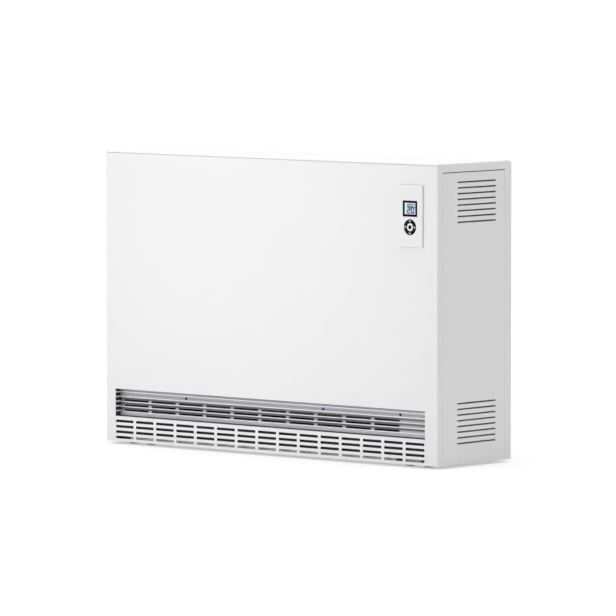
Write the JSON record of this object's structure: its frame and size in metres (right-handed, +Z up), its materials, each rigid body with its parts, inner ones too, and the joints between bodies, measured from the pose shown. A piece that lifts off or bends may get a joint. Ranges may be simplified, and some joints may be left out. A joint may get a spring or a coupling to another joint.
{
  "type": "storage heater",
  "caption": "Floor-standing electric night storage heater: flat white steel casing, side louvres, recessed aluminium air outlet over a slotted intake grille, display and ring key.",
  "frame": {"origin": "centre of the bounding box on the floor, under the middle of the heater", "axes": "+Z up, front facing -Y, +X to the right as seen from the front"},
  "size_m": [0.955, 0.2554, 0.65],
  "materials": {
    "white_paint": "satin powder coat",
    "white_plastic": "fine moulded satin",
    "key_white": "polished",
    "anodised_aluminium": "satin anodised, fluted",
    "dark_lining": "matt black heat-proof paint",
    "black_screw": "blackened",
    "zinc_sheet": "galvanised",
    "mineral_wool": "pressed fibre slab",
    "magnesite": "fired, rough",
    "rod_sheath": "heat-darkened",
    "bearing_bronze": "turned",
    "motor_steel": "bright",
    "fan_plastic": "moulded",
    "black_plastic": "moulded",
    "gloss_black": "glossy",
    "grommet_rubber": "matt",
    "ivory_plastic": "moulded",
    "red_plastic": "moulded",
    "circuit_board": "lacquered",
    "display_glass": "glossy, lit from behind"
  },
  "bodies": {
    "casing": {"base_tray": "zinc_sheet", "foot_rails": "zinc_sheet", "back_panel": "white_paint", "side_panel_left": "white_paint", "side_panel_right": "white_paint", "top_cover": "white_paint", "lid_clips": "black_plastic", "front_panel": "white_paint", "outlet_lining": "dark_lining", "air_outlet_grille": "anodised_aluminium", "outlet_grille_screws": "black_screw", "bulkhead_left": "zinc_sheet", "bulkhead_right": "zinc_sheet", "core_shelf": "zinc_sheet", "inner_front_cover": "zinc_sheet", "inner_back_cover": "zinc_sheet", "inner_top_cover": "zinc_sheet", "insulation_base": "mineral_wool", "insulation_front": "mineral_wool", "insulation_back": "mineral_wool", "insulation_left": "mineral_wool", "insulation_right": "mineral_wool", "insulation_top": "mineral_wool", "brick_layer_1": "magnesite", "brick_layer_2": "magnesite", "brick_layer_3": "magnesite", "brick_layer_4": "magnesite", "heating_elements": "rod_sheath", "fan_scroll": "zinc_sheet", "fan_end_plates": "zinc_sheet", "fan_bearings": "bearing_bronze", "fan_motor": "motor_steel", "damper_brackets": "zinc_sheet", "bimetal_strip": "bearing_bronze", "wall_bracket": "zinc_sheet", "cable_grommet": "grommet_rubber", "cable_clamp": "black_plastic", "terminal_block": "ivory_plastic", "thermal_cutouts": "ivory_plastic", "power_relay": "black_plastic", "wiring_carrier": "zinc_sheet", "room_sensor": "ivory_plastic", "casing_screws": "zinc_sheet", "control_housing": "white_plastic", "control_board": "circuit_board", "display_frame": "gloss_black", "display_window": "display_glass"},
    "intake": {"intake_grille": "white_plastic", "fluff_filter": "fan_plastic"},
    "fan": {"fan_shaft": "motor_steel", "fan_wheel_left": "fan_plastic", "fan_wheel_right": "fan_plastic"},
    "damper": {"damper_flap": "zinc_sheet"},
    "nav_cross": {"nav_gimbal": "black_plastic"},
    "nav_key": {"nav_ring": "gloss_black"},
    "centre_key": {"centre_button": "key_white", "centre_spot": "gloss_black"},
    "reset_key": {"reset_button": "red_plastic"}
  },
  "joints": [
    {"name": "intake_pull", "type": "slide", "parent": "casing", "child": "intake", "axis": [0, -1, 0], "range_m": [0, 0.03]},
    {"name": "fan_spin", "type": "hinge", "parent": "casing", "child": "fan", "pos_m": [-0.045, -0.0103, 0.0464], "axis": [1, 0, 0], "continuous": true},
    {"name": "damper_swing", "type": "hinge", "parent": "casing", "child": "damper", "pos_m": [-0.045, -0.0323, 0.1235], "axis": [1, 0, 0], "range_deg": [0, 40]},
    {"name": "nav_rock_vertical", "type": "hinge", "parent": "casing", "child": "nav_cross", "pos_m": [0.4049, -0.1233, 0.5142], "axis": [1, 0, 0], "range_deg": [-2, 2], "stiffness_Nm_per_rad": 0.8},
    {"name": "nav_rock_sideways", "type": "hinge", "parent": "nav_cross", "child": "nav_key", "pos_m": [0.4049, -0.1233, 0.5142], "axis": [0, 0, 1], "range_deg": [-2, 2], "stiffness_Nm_per_rad": 0.8},
    {"name": "centre_press", "type": "slide", "parent": "casing", "child": "centre_key", "axis": [0, 1, 0], "range_m": [0, 0.0008], "stiffness_N_per_m": 800},
    {"name": "reset_press", "type": "slide", "parent": "casing", "child": "reset_key", "axis": [-1, 0, 0], "range_m": [0, 0.0015], "stiffness_N_per_m": 600}
  ]
}
